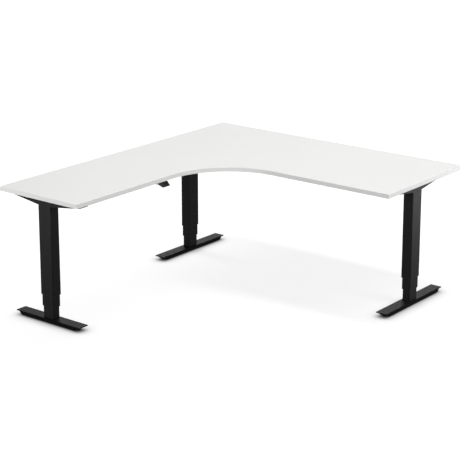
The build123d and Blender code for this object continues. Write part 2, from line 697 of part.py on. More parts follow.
with BuildPart() as control_box:
    box_width = BOX_X[1] - BOX_X[0]
    box_depth = BOX_Y[1] - BOX_Y[0]
    box_centre = ((BOX_X[0] + BOX_X[1]) / 2, (BOX_Y[0] + BOX_Y[1]) / 2)
    with BuildSketch(Plane.XY.offset(UNDERSIDE - BOX_HIGH)):
        with Locations(box_centre):
            RectangleRounded(box_width, box_depth, BOX_ROUND)
    extrude(amount=BOX_HIGH)
    fillet(control_box.faces().sort_by(Axis.Z)[0].edges(), BOX_EDGE)
    with BuildSketch(Plane.XY.offset(UNDERSIDE - EAR)):
        with Locations(box_centre):
            RectangleRounded(box_width + 2 * BOX_EAR, box_depth - 2 * BOX_ROUND, BOX_ROUND)
    extrude(amount=EAR)
    with Locations(*[point - Vector(0, 0, EAR / 2) for point in box_screw_points()]):
        Cylinder(SCREW_R + HOLE_GAP, EAR, mode=Mode.SUBTRACT)
    inlet_place = (INLET_X, BOX_Y[1], UNDERSIDE - BOX_HIGH / 2)
    with BuildSketch(Plane(origin=inlet_place, x_dir=(1, 0, 0), z_dir=(0, -1, 0))):
        Rectangle(INLET_WIDE, INLET_HIGH)
    extrude(amount=INLET_DEEP, mode=Mode.SUBTRACT)
save(control_box.part, "control_box")


def lead_path(points):
    """Flat route of straight runs joined by arcs, at the leads' level."""
    raised = [(x, y, LEAD_LEVEL) for x, y in points]
    bends = []
    for before, corner, after in zip(points, points[1:], points[2:]):
        run_in = (Vector(*corner) - Vector(*before)).length
        run_out = (Vector(*after) - Vector(*corner)).length
        bends.append(min(LEAD_BEND, BEND_SHARE * run_in, BEND_SHARE * run_out))
    return FilletPolyline(*raised, radius=bends)


def lead_end(points):
    """Plane across the lead at its start."""
    start = Vector(*points[0], LEAD_LEVEL)
    forward = Vector(*points[1], LEAD_LEVEL) - start
    return Plane(origin=start, z_dir=forward)


with BuildPart() as motor_leads:
    for route in (RIGHT_ROUTE, CORNER_ROUTE, LEFT_ROUTE):
        with BuildLine() as lead_line:
            lead_path(route)
        with BuildSketch(lead_end(route)):
            Circle(LEAD_R)
        sweep(path=lead_line.wires()[0])
save(motor_leads.part, "motor_leads")

with BuildPart() as handset_lead:
    with BuildLine() as lead_line:
        lead_path(HANDSET_ROUTE)
    with BuildSketch(lead_end(HANDSET_ROUTE)):
        Circle(LEAD_R)
    sweep(path=lead_line.wires()[0])
save(handset_lead.part, "handset_lead")

with BuildPart() as lead_clips:
    clip_high = UNDERSIDE - LEAD_LEVEL + LEAD_R + CLIP_GAP + CLIP_WALL
    clip_wide = 2 * (LEAD_R + CLIP_GAP + CLIP_WALL)
    for run, lane, places in CLIP_ROWS:
        for place in places:
            x, y = (place, lane) if run == "x" else (lane, place)
            along = Vector(1, 0, 0) if run == "x" else Vector(0, 1, 0)
            origin = Vector(x, y, UNDERSIDE) - along * (CLIP_LONG / 2)
            with BuildSketch(Plane(origin=origin, x_dir=along.cross(Vector(0, 0, 1)), z_dir=along)):
                with Locations((0, clip_high / 2)):
                    Rectangle(clip_wide, clip_high)
                with Locations((0, UNDERSIDE - LEAD_LEVEL)):
                    Circle(LEAD_R + CLIP_GAP, mode=Mode.SUBTRACT)
            extrude(amount=CLIP_LONG)
save(lead_clips.part, "lead_clips")


# ---- Handset under the left wing's inner edge ----

def hand_plane(y):
    """Upright plane across the handset, drawn in X and Z."""
    return Plane(origin=(0, y, 0), x_dir=(1, 0, 0), z_dir=(0, -1, 0))


HAND_LOW = UNDERSIDE - HAND_DEEP
HAND_NEAR = HAND_Y - HAND_WIDE / 2
HAND_FAR = HAND_Y + HAND_WIDE / 2

with BuildPart() as handset_housing:
    with BuildSketch(hand_plane(HAND_FAR)):
        with BuildLine():
            Polyline((HAND_X[0], UNDERSIDE), (HAND_X[0], HAND_LOW + HAND_SLOPE_HIGH),
                     (HAND_X[0] + HAND_SLOPE_LONG, HAND_LOW), (HAND_X[1], HAND_LOW),
                     (HAND_X[1], UNDERSIDE), close=True)
        make_face()
    extrude(amount=HAND_WIDE)
    fillet(handset_housing.edges().group_by(Axis.Z)[0], HAND_ROUND)
    for cheek_y in (HAND_FAR, HAND_NEAR + CHEEK):
        with BuildSketch(hand_plane(cheek_y)):
            with BuildLine():
                Polyline((HAND_X[1], UNDERSIDE), (HAND_X[1], HAND_LOW + CHEEK_RISE),
                         (PIVOT_X, PIVOT_Z - CHEEK_R))
                RadiusArc((PIVOT_X, PIVOT_Z - CHEEK_R), (PIVOT_X + CHEEK_R, PIVOT_Z), -CHEEK_R)
                Polyline((PIVOT_X + CHEEK_R, PIVOT_Z), (PIVOT_X + CHEEK_R, UNDERSIDE),
                         (HAND_X[1], UNDERSIDE))
            make_face()
        extrude(amount=CHEEK)
    with BuildSketch(hand_plane(HAND_FAR)):
        with Locations((PIVOT_X, PIVOT_Z)):
            Circle(PIN_R + RUN_GAP)
    extrude(amount=HAND_WIDE, mode=Mode.SUBTRACT)
    with BuildSketch(Plane.XY.offset(UNDERSIDE - EAR)):
        with Locations((HAND_X[0] - HAND_EAR_OUT, HAND_Y)):
            RectangleRounded(HAND_EAR, HAND_WIDE, HAND_ROUND)
    extrude(amount=EAR)
    with Locations(*[point - Vector(0, 0, EAR / 2) for point in handset_screw_points()]):
        Cylinder(SCREW_R + HOLE_GAP, EAR, mode=Mode.SUBTRACT)
save(handset_housing.part, "handset_housing")

with BuildPart() as handset_paddle:
    with BuildSketch(hand_plane(HAND_FAR - CHEEK - PADDLE_GAP)):
        with BuildLine():
            Polyline((PIVOT_X, PIVOT_Z - PADDLE_R),
                     (PADDLE_NOSE_X - PADDLE_FLAT_START, PADDLE_NOSE_Z - PADDLE_LIP),
                     (PADDLE_NOSE_X - PADDLE_FLAT_END, PADDLE_NOSE_Z - PADDLE_LIP),
                     (PADDLE_NOSE_X, PADDLE_NOSE_Z),
                     (PADDLE_NOSE_X - PADDLE_BACK_X, PADDLE_BACK_Z),
                     (PIVOT_X, PIVOT_Z + PADDLE_HEEL))
            RadiusArc((PIVOT_X, PIVOT_Z + PADDLE_HEEL), (PIVOT_X, PIVOT_Z - PADDLE_R), -PADDLE_R)
        make_face()
    extrude(amount=HAND_WIDE - 2 * CHEEK - 2 * PADDLE_GAP)
    fillet(handset_paddle.edges().filter_by(Axis.Y).sort_by(Axis.X)[-3:], PADDLE_ROUND)
    with BuildSketch(hand_plane(HAND_FAR - PIN_SHORT)):
        with Locations((PIVOT_X, PIVOT_Z)):
            Circle(PIN_R)
    extrude(amount=HAND_WIDE - 2 * PIN_SHORT)
save(handset_paddle.part, "handset_paddle")


# ---- The three legs ----

for leg in LEGS:
    make_foot(leg)
    make_levellers(leg)
    make_inner_tube(leg)
    make_foot_bolts(leg)
    make_lower_nut(leg)
    make_middle_tube(leg)
    make_middle_glides(leg)
    make_upper_nut(leg)
    make_lower_spindle(leg)
    make_outer_tube(leg)
    make_outer_glide(leg)
    make_drive_spindle(leg)
    make_gearbox(leg)
    make_motor(leg)
    make_arm(leg)
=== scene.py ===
import json
from math import cos, pi, radians, sin
import bmesh
import bpy
from mathutils import Euler, Matrix, Vector


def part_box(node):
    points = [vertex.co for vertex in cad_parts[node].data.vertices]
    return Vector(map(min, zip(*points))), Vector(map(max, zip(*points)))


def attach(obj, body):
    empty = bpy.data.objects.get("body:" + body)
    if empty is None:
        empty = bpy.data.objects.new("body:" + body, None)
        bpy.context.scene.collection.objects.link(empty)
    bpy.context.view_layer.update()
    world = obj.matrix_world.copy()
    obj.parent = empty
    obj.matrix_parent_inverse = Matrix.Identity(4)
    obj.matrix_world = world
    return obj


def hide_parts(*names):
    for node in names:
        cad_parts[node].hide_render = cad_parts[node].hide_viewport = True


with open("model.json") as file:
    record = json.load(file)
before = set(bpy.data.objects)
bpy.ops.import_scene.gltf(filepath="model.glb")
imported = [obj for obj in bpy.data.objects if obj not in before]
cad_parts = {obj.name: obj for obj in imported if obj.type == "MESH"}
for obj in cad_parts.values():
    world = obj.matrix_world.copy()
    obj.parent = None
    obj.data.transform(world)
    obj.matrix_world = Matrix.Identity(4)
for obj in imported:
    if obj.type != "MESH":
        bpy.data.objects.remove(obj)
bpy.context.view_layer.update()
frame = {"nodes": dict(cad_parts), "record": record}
NODES = frame["nodes"]
RECORD = frame["record"]
MM = 0.001
LEG_NAMES = ("left", "corner", "right")
UP = Vector((0, 0, 1))


# ---------------------------------------------------------------- camera, floor and light

CAMERA_PLACE = Vector((5.103, -6.525, 3.005))
CAMERA_TURN = radians(38.29)        # from looking along +Y, towards -X
CAMERA_DOWN = radians(14.61)
CAMERA_LENS = 117.4                 # mm, on a 36 mm sensor
CAMERA_SHIFT = -0.15                # the object stands above the middle of the picture
WORLD_STRENGTH = 0.19


def make_camera():
    data = bpy.data.cameras.new("camera")
    data.lens = CAMERA_LENS
    data.shift_y = CAMERA_SHIFT
    data.dof.use_dof = False
    camera = bpy.data.objects.new("camera", data)
    camera.location = CAMERA_PLACE
    camera.rotation_euler = Euler((pi / 2 - CAMERA_DOWN, 0, CAMERA_TURN))
    bpy.context.scene.collection.objects.link(camera)
    bpy.context.scene.camera = camera


def make_world(strength):
    world = bpy.data.worlds.new("studio")
    world.use_nodes = True
    background = world.node_tree.nodes["Background"]
    background.inputs["Color"].default_value = (1, 1, 1, 1)
    background.inputs["Strength"].default_value = strength
    bpy.context.scene.world = world
    bpy.context.scene.view_settings.view_transform = "Standard"


def make_softbox(name, place, target, width, height, power, objects, state="EXCLUDE"):
    """Soft rectangular light that leaves these objects out, or that lights nothing else."""
    data = bpy.data.lights.new(name, "AREA")
    data.shape = "RECTANGLE"
    data.size = width
    data.size_y = height
    data.energy = power
    light = bpy.data.objects.new(name, data)
    light.location = place
    light.visible_camera = False
    light.rotation_euler = (Vector(target) - Vector(place)).to_track_quat("-Z", "Y").to_euler()
    bpy.context.scene.collection.objects.link(light)
    receivers = bpy.data.collections.new(f"{name}_receivers")
    for receiver in objects:
        receivers.objects.link(receiver)
    for link in receivers.collection_objects:
        link.light_linking.link_state = state
    light.light_linking.receiver_collection = receivers


def glowing(name, level, glow):
    """Matt white that also glows, for what surrounds the object."""
    material = bpy.data.materials.new(name)
    material.use_nodes = True
    shader = material.node_tree.nodes["Principled BSDF"]
    shader.inputs["Base Color"].default_value = (level, level, level, 1)
    shader.inputs["Roughness"].default_value = 0.9
    shader.inputs["Specular IOR Level"].default_value = 0.0
    shader.inputs["Emission Color"].default_value = (1, 1, 1, 1)
    shader.inputs["Emission Strength"].default_value = glow
    return material


def set_range(map_range, low, high, to_low, to_high):
    """Make a Map Range node map low..high to to_low..to_high, held at the ends."""
    ends = {"From Min": low, "From Max": high, "To Min": to_low, "To Max": to_high}
    for socket, value in ends.items():
        map_range.inputs[socket].default_value = value


def add_stage(name, mesh, material):
    """Part of the studio: seen by the camera, but it throws no light on the object."""
    stage = bpy.data.objects.new(name, mesh)
    bpy.context.scene.collection.objects.link(stage)
    mesh.materials.append(material)
    stage.visible_diffuse = False
    stage.visible_glossy = False
    stage.visible_transmission = False
    stage.visible_shadow = False
    return stage


STUDIO_REACH = 60.0
FLOOR_GREY = 0.2
FLOOR_GLOW = 0.865                  # near the object; far from it the floor glows white
FLOOR_NEAR = 1.1
FLOOR_FAR = 3.0
# painted contact shadow: within this reach of anything over it, the floor's glow is dimmed by ambient
# occlusion
CONTACT_SHADOW_REACH = 0.08                # how close over the floor a thing darkens it
CONTACT_SHADOW_POWER = 1.5


def make_studio():
    """Pale floor that shows only soft shadows, and a white dome behind it.

    The floor glows less near the object, where a softbox lights it, than far away,
    and least where something stands close over it, where ambient occlusion dims the glow as a painted
    contact shadow."""
    reach = STUDIO_REACH
    mesh = bpy.data.meshes.new("floor")
    corners = [(-reach, -reach, 0), (reach, -reach, 0), (reach, reach, 0), (-reach, reach, 0)]
    mesh.from_pydata(corners, [], [(0, 1, 2, 3)])
    material = glowing("floor_white", FLOOR_GREY, FLOOR_GLOW)
    tree = material.node_tree
    place = tree.nodes.new("ShaderNodeTexCoord")
    distance = tree.nodes.new("ShaderNodeVectorMath")
    distance.operation = "LENGTH"
    glow = tree.nodes.new("ShaderNodeMapRange")
    set_range(glow, FLOOR_NEAR, FLOOR_FAR, FLOOR_GLOW, 1.0)
    # painted contact shadow: ambient occlusion, raised to a power, dims the floor's glow where something
    # stands close over it
    openness = tree.nodes.new("ShaderNodeAmbientOcclusion")
    openness.inputs["Distance"].default_value = CONTACT_SHADOW_REACH
    painted_contact_shadow = tree.nodes.new("ShaderNodeMath")
    painted_contact_shadow.operation = "POWER"
    painted_contact_shadow.inputs[1].default_value = CONTACT_SHADOW_POWER
    product = tree.nodes.new("ShaderNodeMath")
    product.operation = "MULTIPLY"
    tree.links.new(place.outputs["Object"], distance.inputs[0])
    tree.links.new(distance.outputs["Value"], glow.inputs["Value"])
    tree.links.new(openness.outputs["AO"], painted_contact_shadow.inputs[0])
    tree.links.new(glow.outputs["Result"], product.inputs[0])
    tree.links.new(painted_contact_shadow.outputs["Value"], product.inputs[1])
    tree.links.new(product.outputs["Value"], tree.nodes["Principled BSDF"].inputs["Emission Strength"])
    floor = add_stage("floor", mesh, material)
    bm = bmesh.new()
    bmesh.ops.create_uvsphere(bm, u_segments=48, v_segments=24, radius=reach)
    mesh = bpy.data.meshes.new("dome")
    bm.to_mesh(mesh)
    bm.free()
    add_stage("dome", mesh, glowing("dome_white", 0.0, 1.0))
    return floor


# ---------------------------------------------------------------- materials

class Look:
    """A procedural material: a Principled shader whose colour, roughness and bump come from nodes."""

    def __init__(self, name, **sockets):
        self.material = bpy.data.materials.new(name)
        self.material.use_nodes = True
        self.tree = self.material.node_tree
        self.shader = self.tree.nodes["Principled BSDF"]
        self.place = self.tree.nodes.new("ShaderNodeTexCoord").outputs["Object"]
        self.bump_before = None
        for socket, value in sockets.items():
            self.shader.inputs[socket.replace("_", " ")].default_value = value

    def node(self, kind, **inputs):
        made = self.tree.nodes.new(kind)
        for socket, value in inputs.items():
            found = made.inputs[socket]
            if isinstance(value, bpy.types.NodeSocket):
                self.tree.links.new(value, found)
            else:
                found.default_value = value
        return made

    def stretched(self, stretch):
        """The place on the piece, scaled apart along its axes."""
        return self.node("ShaderNodeMapping", Vector=self.place, Scale=stretch).outputs["Vector"]

    def noise(self, size, detail=2.0, stretch=None):
        """Cloudy pattern whose patches are about size metres across."""
        place = self.place if stretch is None else self.stretched(stretch)
        made = self.node("ShaderNodeTexNoise", Vector=place, Scale=1 / size, Detail=detail)
        return made.outputs["Fac"]

    def cells(self, size):
        made = self.node("ShaderNodeTexVoronoi", Vector=self.place, Scale=1 / size)
        return made.outputs["Distance"]

    def spread(self, factor, low, high, to_low, to_high):
        """Map factor from low..high to to_low..to_high."""
        made = self.node("ShaderNodeMapRange", Value=factor)
        set_range(made, low, high, to_low, to_high)
        return made.outputs["Result"]

    def colour(self, factor, first, second):
        """Base colour that runs from first to second with factor."""
        mix = self.tree.nodes.new("ShaderNodeMix")
        mix.data_type = "RGBA"
        colours = [socket for socket in mix.inputs if socket.type == "RGBA"]
        colours[0].default_value = (*first, 1)
        colours[1].default_value = (*second, 1)
        self.tree.links.new(factor, mix.inputs["Factor"])
        result = [socket for socket in mix.outputs if socket.type == "RGBA"][0]
        self.tree.links.new(result, self.shader.inputs["Base Color"])

    def roughness(self, factor, low, high):
        value = self.spread(factor, 0.3, 0.7, low, high)
        self.tree.links.new(value, self.shader.inputs["Roughness"])

    def bump(self, height, distance, strength=1.0):
        """Bump of a real height in metres, added to any before it."""
        made = self.node("ShaderNodeBump", Height=height, Distance=distance, Strength=strength)
        if self.bump_before is not None:
            self.tree.links.new(self.bump_before, made.inputs["Normal"])
        self.bump_before = made.outputs["Normal"]
        self.tree.links.new(self.bump_before, self.shader.inputs["Normal"])


def grey(level):
    return (level, level, level)


def laminate():
    """White melamine with a fine matt grain."""
    look = Look("top_laminate", Specular_IOR_Level=0.4)
    cloud = look.noise(0.35, 3)
    look.colour(look.spread(cloud, 0.35, 0.65, 0, 1), (0.826, 0.826, 0.818), (0.834, 0.834, 0.826))
    grain = look.noise(0.0009, 3)
    look.roughness(look.noise(0.004), 0.42, 0.55)
    look.bump(grain, 0.00004)
    look.bump(look.cells(0.0022), 0.00002)
    return look.material


def edging():
    """Matt edging strip, a little greyer than the top, with faint lines along it from its making."""
    look = Look("edge_band", Specular_IOR_Level=0.4)
    lines = look.noise(0.0012, 2, (0.05, 0.05, 1))
    look.colour(lines, (0.80, 0.80, 0.79), (0.84, 0.84, 0.83))
    look.roughness(look.noise(0.002), 0.45, 0.6)
    look.bump(lines, 0.00003)
    return look.material


def powder_coat(name, level):
    """Textured black powder coat: fine rounded grains over a slight orange peel."""
    look = Look(name, Specular_IOR_Level=0.24)
    peel = look.noise(0.006, 2)
    look.colour(peel, grey(level * 0.8), grey(level * 1.25))
    look.roughness(look.noise(0.0015), 0.48, 0.62)
    look.bump(peel, 0.00005)
    look.bump(look.noise(0.0007, 2), 0.00006)
    return look.material


def moulded(name, colour, rough, grain=0.0005, depth=0.00003, **sockets):
    """Moulded plastic with a spark-eroded skin."""
    look = Look(name, **sockets)
    look.colour(look.noise(0.012, 3), [c * 0.9 for c in colour], [c * 1.12 for c in colour])
    look.roughness(look.noise(0.003), rough - 0.05, rough + 0.08)
    look.bump(look.noise(grain, 2), depth)
    return look.material


def bare_metal(name, colour, rough, lines, depth, stretch):
    """Bare metal with fine working marks, drawn out along one direction."""
    look = Look(name, Metallic=1.0)
    marks = look.noise(lines, 3, stretch)
    look.colour(look.noise(0.015, 3), [c * 0.88 for c in colour], [c * 1.08 for c in colour])
    look.roughness(marks, rough - 0.08, rough + 0.1)
    look.bump(marks, depth)
    return look.material


def zinc():
    """Bright zinc plating with a faint yellow and blue cast in patches."""
    look = Look("screw_zinc", Metallic=1.0)
    patches = look.noise(0.004, 3)
    look.colour(patches, (0.50, 0.52, 0.55), (0.62, 0.60, 0.53))
    look.roughness(look.noise(0.0008), 0.28, 0.42)
    look.bump(look.noise(0.0005), 0.00001)
    return look.material


def enamel():
    """Smooth black enamel on the motors' cans."""
    look = Look("motor_black", Specular_IOR_Level=0.4)
    look.colour(look.noise(0.01, 2), grey(0.018), grey(0.03))
    look.roughness(look.noise(0.002), 0.3, 0.42)
    look.bump(look.noise(0.004, 2), 0.00003)
    return look.material


LOOKS = {
    "top_laminate": laminate(),
    "edge_band": edging(),
    "frame_black": powder_coat("frame_black", 0.004),
    "foot_black": powder_coat("foot_black", 0.006),
    "glide_black": moulded("glide_black", grey(0.012), 0.4, Specular_IOR_Level=0.3),
    "nut_plastic": moulded("nut_plastic", (0.70, 0.69, 0.64), 0.38,
                           Subsurface_Weight=0.15, Subsurface_Scale=0.004),
    "spindle_steel": bare_metal("spindle_steel", (0.50, 0.50, 0.51), 0.3, 0.0009, 0.00003, (0.2, 0.2, 1)),
    "gearbox_metal": bare_metal("gearbox_metal", (0.52, 0.53, 0.54), 0.5, 0.0012, 0.00008, (1, 1, 1)),
    "motor_black": enamel(),
    "screw_zinc": zinc(),
    "box_plastic": moulded("box_plastic", grey(0.016), 0.5, 0.0007, 0.00006, Specular_IOR_Level=0.4),
    "handset_plastic": moulded("handset_plastic", grey(0.008), 0.45, 0.0004, 0.00003,
                               Specular_IOR_Level=0.3),
    "paddle_plastic": moulded("paddle_plastic", grey(0.007), 0.32, 0.0006, 0.00001,
                              Specular_IOR_Level=0.35),
    "lead_pvc": moulded("lead_pvc", grey(0.014), 0.5, 0.0008, 0.00003, Specular_IOR_Level=0.4),
    "leveller_black": moulded("leveller_black", grey(0.014), 0.5, 0.0008, 0.00004, Specular_IOR_Level=0.4),
}


# ---------------------------------------------------------------- CAD nodes

EDGE_ROUND = {
    "frame_black": 0.8,
    "foot_black": 0.6,
    "glide_black": 0.3,
    "nut_plastic": 0.4,
    "gearbox_metal": 0.8,
    "box_plastic": 0.5,
    "handset_plastic": 0.5,
    "paddle_plastic": 0.4,
}


def soften(node, width):
    """Small rounding on a CAD node's sharp edges, as its mesh is shown."""
    weld = node.modifiers.new("weld", "WELD")
    weld.merge_threshold = 0.01 * MM
    bevel = node.modifiers.new("round", "BEVEL")
    bevel.width = width
    bevel.segments = 2
    bevel.limit_method = "ANGLE"
    bevel.angle_limit = radians(35)
    bevel.use_clamp_overlap = True
    bevel.harden_normals = True


def dress_nodes():
    slots = {row["node"]: row["material_slot"] for row in RECORD["subparts"]}
    for name, node in NODES.items():
        slot = slots[name]
        node.data.materials.clear()
        node.data.materials.append(LOOKS[slot])
        if slot in EDGE_ROUND:
            soften(node, EDGE_ROUND[slot] * MM)


# ---------------------------------------------------------------- mesh building

RING = 24       # points in a round or shaped section


def circle(radius, z, count=RING):
    angles = [2 * pi * i / count for i in range(count)]
    return [Vector((radius * cos(angle), radius * sin(angle), z)) for angle in angles]


def hexagon(flats, z, count=RING):
    """Hexagon, flats across its flats, with its points spread along the sides."""
    points = []
    for i in range(count):
        angle = 2 * pi * i / count
        off = (angle + pi / 6) % (pi / 3) - pi / 6
        points.append(Vector((cos(angle), sin(angle), 0)) * (flats / 2 / cos(off)) + UP * z)
    return points


def cross(arm, half_wide, z):
    """Cross-shaped outline of a screw's recess, 24 points."""
    middle = (arm + half_wide) / 2
    quarter = [(arm, 0), (arm, half_wide), (middle, half_wide), (half_wide, half_wide),
               (half_wide, middle), (half_wide, arm)]
    points = []
    for turn in range(4):
        for x, y in quarter:
            points.append(Matrix.Rotation(turn * pi / 2, 3, "Z") @ Vector((x, y, z)))
    return points


def rounded_rect(half_x, half_y, radius, z, count=RING):
    """Rectangle with rounded corners, a quarter of its points in each corner."""
    points = []
    per_corner = count // 4
    for quarter, (x, y) in enumerate(((1, 1), (-1, 1), (-1, -1), (1, -1))):
        centre = Vector((x * (half_x - radius), y * (half_y - radius), z))
        for i in range(per_corner):
            angle = quarter * pi / 2 + (pi / 2) * i / (per_corner - 1)
            points.append(centre + Vector((radius * cos(angle), radius * sin(angle), 0)))
    return points


def rounded_square(half, radius, z, count=RING):
    return rounded_rect(half, half, radius, z, count)


def aim(point, forward):
    """Matrix at a point, its own Z along forward."""
    return Matrix.Translation(point) @ forward.to_track_quat("Z", "Y").to_matrix().to_4x4()


def loft(bm, rings, place=Matrix.Identity(4), caps=(True, True)):
    """Skin through rings of equal point counts, closed at the ends that caps asks for."""
    made = [[bm.verts.new(place @ point) for point in ring] for ring in rings]
    for lower, upper in zip(made, made[1:]):
        for i in range(len(lower)):
            j = (i + 1) % len(lower)
            bm.faces.new((lower[i], lower[j], upper[j], upper[i]))
    if caps[0]:
        bm.faces.new(reversed(made[0]))
    if caps[1]:
        bm.faces.new(made[-1])


def finish_mesh(bm, name, sharp=radians(32)):
    bmesh.ops.recalc_face_normals(bm, faces=bm.faces)
    mesh = bpy.data.meshes.new(name)
    bm.to_mesh(mesh)
    bm.free()
    mesh.shade_smooth()
    mesh.set_sharp_from_angle(angle=sharp)
    return mesh


def add_piece(name, bm, body, slot, replaced=()):
    """Turn a bmesh into a piece that rides on a body and takes a slot's look."""
    piece = bpy.data.objects.new(name, finish_mesh(bm, name))
    bpy.context.scene.collection.objects.link(piece)
    piece.data.materials.append(LOOKS[slot])
    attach(piece, body)
    if replaced:
        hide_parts(*replaced)
    return piece


def solid_boxes(node):
    """Lowest and highest corners of each separate solid in a CAD node."""
    bm = bmesh.new()
    bm.from_mesh(NODES[node].data)
    bmesh.ops.remove_doubles(bm, verts=bm.verts, dist=0.001 * MM)
    bm.verts.ensure_lookup_table()
    seen = set()
    boxes = []
    for start in bm.verts:
        if start.index in seen:
            continue
        seen.add(start.index)
        group = [start]
        for vert in group:
            for edge in vert.link_edges:
                other = edge.other_vert(vert)
                if other.index not in seen:
                    seen.add(other.index)
                    group.append(other)
        low = Vector([min(v.co[k] for v in group) for k in range(3)])
        high = Vector([max(v.co[k] for v in group) for k in range(3)])
        boxes.append((low, high))
    bm.free()
    return boxes


# ---------------------------------------------------------------- legs' own directions

class Leg:
    """Where a column stands: local X along its foot, local Y towards its motor, Z up."""

    def __init__(self, name):
        self.name = name
        low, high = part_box(f"{name}_outer_tube")
        motor_low, motor_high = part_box(f"{name}_motor")
        self.centre = (low + high) / 2
        self.centre.z = 0
        out = (motor_low + motor_high) / 2 - self.centre
        out.z = 0
        self.out = out.normalized()
        self.along = self.out.cross(UP)

    def place(self, x, y, z, forward=None):
        """Matrix at a local point, its own Z up, or along forward, which is a direction in the scene."""
        point = self.centre + self.along * x + self.out * y + UP * z
        if forward is not None:
            return aim(point, forward)
        turn = Matrix((self.along, self.out, UP)).transposed()
        return Matrix.Translation(point) @ turn.to_4x4()


LEGS = [Leg(name) for name in LEG_NAMES]


# ---------------------------------------------------------------- screws and bolts

def pan_head_rings(head_radius, head):
    """Pan head with a cross recess, its crown at z = 0."""
    reach = head_radius * 0.55
    slim = head_radius * 0.15
    return [
        cross(reach * 0.7, slim * 0.7, head * 0.6),
        cross(reach, slim, 0.02 * head),
        circle(head_radius * 0.72, 0.06 * head),
        circle(head_radius * 0.9, 0.25 * head),
        circle(head_radius, 0.6 * head),
        circle(head_radius, head),
    ]


def wood_screw_rings(head_radius, head, shank_radius, shank):
    """Pan head, its crown at z = 0, and a threaded shank up to z = head + shank."""
    rings = [*pan_head_rings(head_radius, head), circle(shank_radius * 0.75, head)]
    pitch = shank_radius * 0.9
    turns = int(shank * 0.8 / pitch)
    for step in range(turns * 2):
        crest = shank_radius if step % 2 else shank_radius * 0.68
        rings.append(circle(crest, head + shank * 0.08 + step * pitch / 2))
    rings.append(circle(shank_radius * 0.1, head + shank))
    return rings


def make_wood_screws():
    """Wood screws that hold arms, control box and handset, each turned its own way."""
    head = 3.0 * MM
    shank_radius = 2.1 * MM
    bm = bmesh.new()
    for low, high in solid_boxes("wood_screws"):
        centre = (low + high) / 2
        centre.z = low.z
        rings = wood_screw_rings((high.x - low.x) / 2, head, shank_radius, high.z - low.z - head)
        turn = Matrix.Rotation(centre.x * 40 + centre.y * 17, 4, "Z")
        loft(bm, rings, Matrix.Translation(centre) @ turn)
    add_piece("wood_screw_set", bm, "desk_top", "screw_zinc", ["wood_screws"])


M8_RADIUS = 4.0 * MM
M8_ROOT = 3.2 * MM
M8_PITCH = 1.25 * MM
M8_DEPTH = 0.5 * MM


def thread_rings(radius, depth, spacing, bottom, top, starts=1, count=RING):
    """Rings of a screw thread: each ring's radius rises and falls with the turn of the helix."""
    steps = max(2, round((top - bottom) / (spacing / 4)))
    rings = []
    for step in range(steps + 1):
        z = bottom + (top - bottom) * step / steps
        ring = []
        for i in range(count):
            angle = 2 * pi * i / count
            phase = (z / spacing - starts * angle / (2 * pi)) % 1.0
            cut = depth * abs(2 * phase - 1)
            ring.append(Vector(((radius - cut) * cos(angle), (radius - cut) * sin(angle), z)))
        rings.append(ring)
    return rings


def make_foot_bolts(leg):
    """Socket cap screws: their heads look down, into the foot's hollow."""
    bm = bmesh.new()
    head = 5.0 * MM
    for low, high in solid_boxes(f"{leg.name}_foot_bolts"):
        centre = (low + high) / 2
        centre.z = low.z
        radius = (high.x - low.x) / 2
        top = high.z - low.z
        rings = [
            hexagon(5.0 * MM, 2.8 * MM),
            hexagon(5.2 * MM, 0),
            circle(radius - 0.6 * MM, 0),
            circle(radius, 0.6 * MM),
            circle(radius, head),
            circle(M8_RADIUS, head),
            *thread_rings(M8_RADIUS, M8_DEPTH, M8_PITCH, head + 0.5 * MM, top - 0.6 * MM),
            circle(M8_ROOT, top),
        ]
        loft(bm, rings, Matrix.Translation(centre))
    add_piece(f"{leg.name}_foot_bolt_set", bm, f"{leg.name}_foot", "screw_zinc", [f"{leg.name}_foot_bolts"])


def gripped(radius, z, depth):
    """Ring of a ribbed grip: every other point stands in by depth."""
    points = circle(1.0, 0, 2 * RING)
    return [point * (radius - depth * (i % 2)) + UP * z for i, point in enumerate(points)]


def make_levellers(leg):
    """Levelling feet: ribbed pad, hexagon nut and threaded stud."""
    grip = 0.7 * MM
    flats = 13.0 * MM
    for name in [n for n in NODES if n.startswith(f"{leg.name}_leveller_")]:
        low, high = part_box(name)
        centre = (low + high) / 2
        centre.z = low.z
        radius = (high.x - low.x) / 2
        top = high.z - low.z
        pad = 4.0 * MM
        nut = 6.0 * MM
        bm = bmesh.new()
        rings = [
            circle(radius - 1.6 * MM, 0, 2 * RING),
            circle(radius - 0.7 * MM, 0, 2 * RING),
            circle(radius, 0.7 * MM, 2 * RING),
            circle(radius, 1.0 * MM, 2 * RING),
            gripped(radius, 1.2 * MM, grip),
            gripped(radius, 2.8 * MM, grip),
            circle(radius, 3.0 * MM, 2 * RING),
            circle(radius - 0.9 * MM, pad, 2 * RING),
            circle(7.5 * MM, pad, 2 * RING),
        ]
        loft(bm, rings, Matrix.Translation(centre))
        rings = [
            hexagon(flats - 0.6 * MM, pad - 0.2 * MM),
            hexagon(flats, pad + 0.3 * MM),
            hexagon(flats, nut - 0.3 * MM),
            circle(6.1 * MM, nut),
            circle(M8_RADIUS, nut),
            *thread_rings(M8_RADIUS, M8_DEPTH, M8_PITCH, nut + 0.2 * MM, top - 0.8 * MM),
            circle(M8_ROOT, top),
        ]
        loft(bm, rings, Matrix.Translation(centre))
        add_piece(f"{name}_detailed", bm, name, "leveller_black", [name])


# ---------------------------------------------------------------- motors

